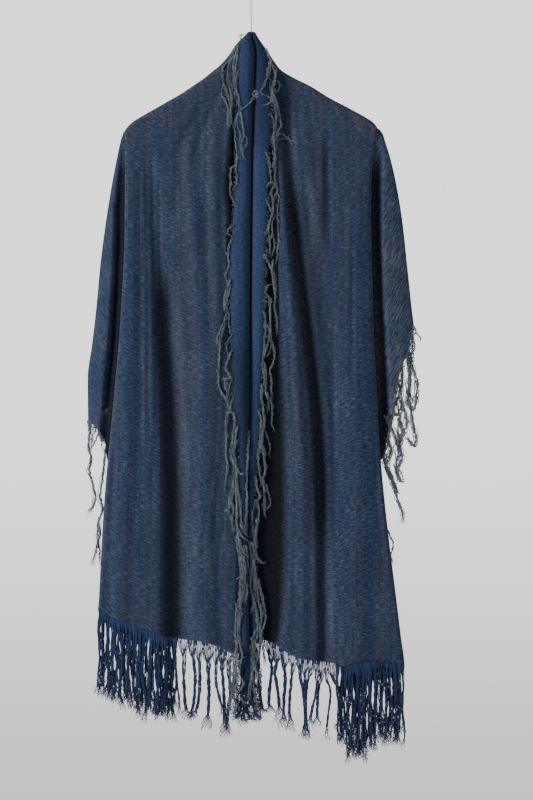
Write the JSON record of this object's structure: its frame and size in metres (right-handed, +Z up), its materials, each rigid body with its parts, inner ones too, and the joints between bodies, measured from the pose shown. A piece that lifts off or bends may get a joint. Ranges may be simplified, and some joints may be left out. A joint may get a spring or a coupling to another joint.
{
  "type": "scarf on hanger",
  "caption": "Handwoven stole with fringed ends, draped over a plain wooden hanger like an open cape, its long edge turned out as lapels, hung from a string loop.",
  "frame": {"origin": "inside of the top of the string's loop, where it rests on a hook", "axes": "+Z up, -Y out of the front, +X to the viewer's right when facing the front"},
  "size_m": [0.5572, 0.0601, 1.3009],
  "materials": {
    "cloth": "matte, loose slubby weave",
    "cloth_reverse": "matte, smoother reverse face",
    "fringe": "matte, loosely twisted strands",
    "frayed_yarn": "matte, fuzzy yarn",
    "hanger": "worn, unvarnished",
    "string": "matte twine"
  },
  "bodies": {
    "root": {"front_left": "cloth", "front_right": "cloth", "back": "cloth", "side_left": "cloth", "side_right": "cloth", "lapel_left": "cloth_reverse", "lapel_right": "cloth_reverse", "return_left": "cloth_reverse", "return_right": "cloth_reverse", "collar_back": "cloth_reverse", "hem_fringe_left": "fringe", "hem_fringe_right": "fringe", "return_fringe_left": "fringe", "return_fringe_right": "fringe", "side_fray_left": "frayed_yarn", "side_fray_right": "frayed_yarn", "back_fray": "frayed_yarn", "collar_fray": "frayed_yarn", "lapel_fray_left": "frayed_yarn", "lapel_fray_right": "frayed_yarn", "hanger": "hanger", "string": "string", "string_loop": "string"}
  },
  "joints": []
}
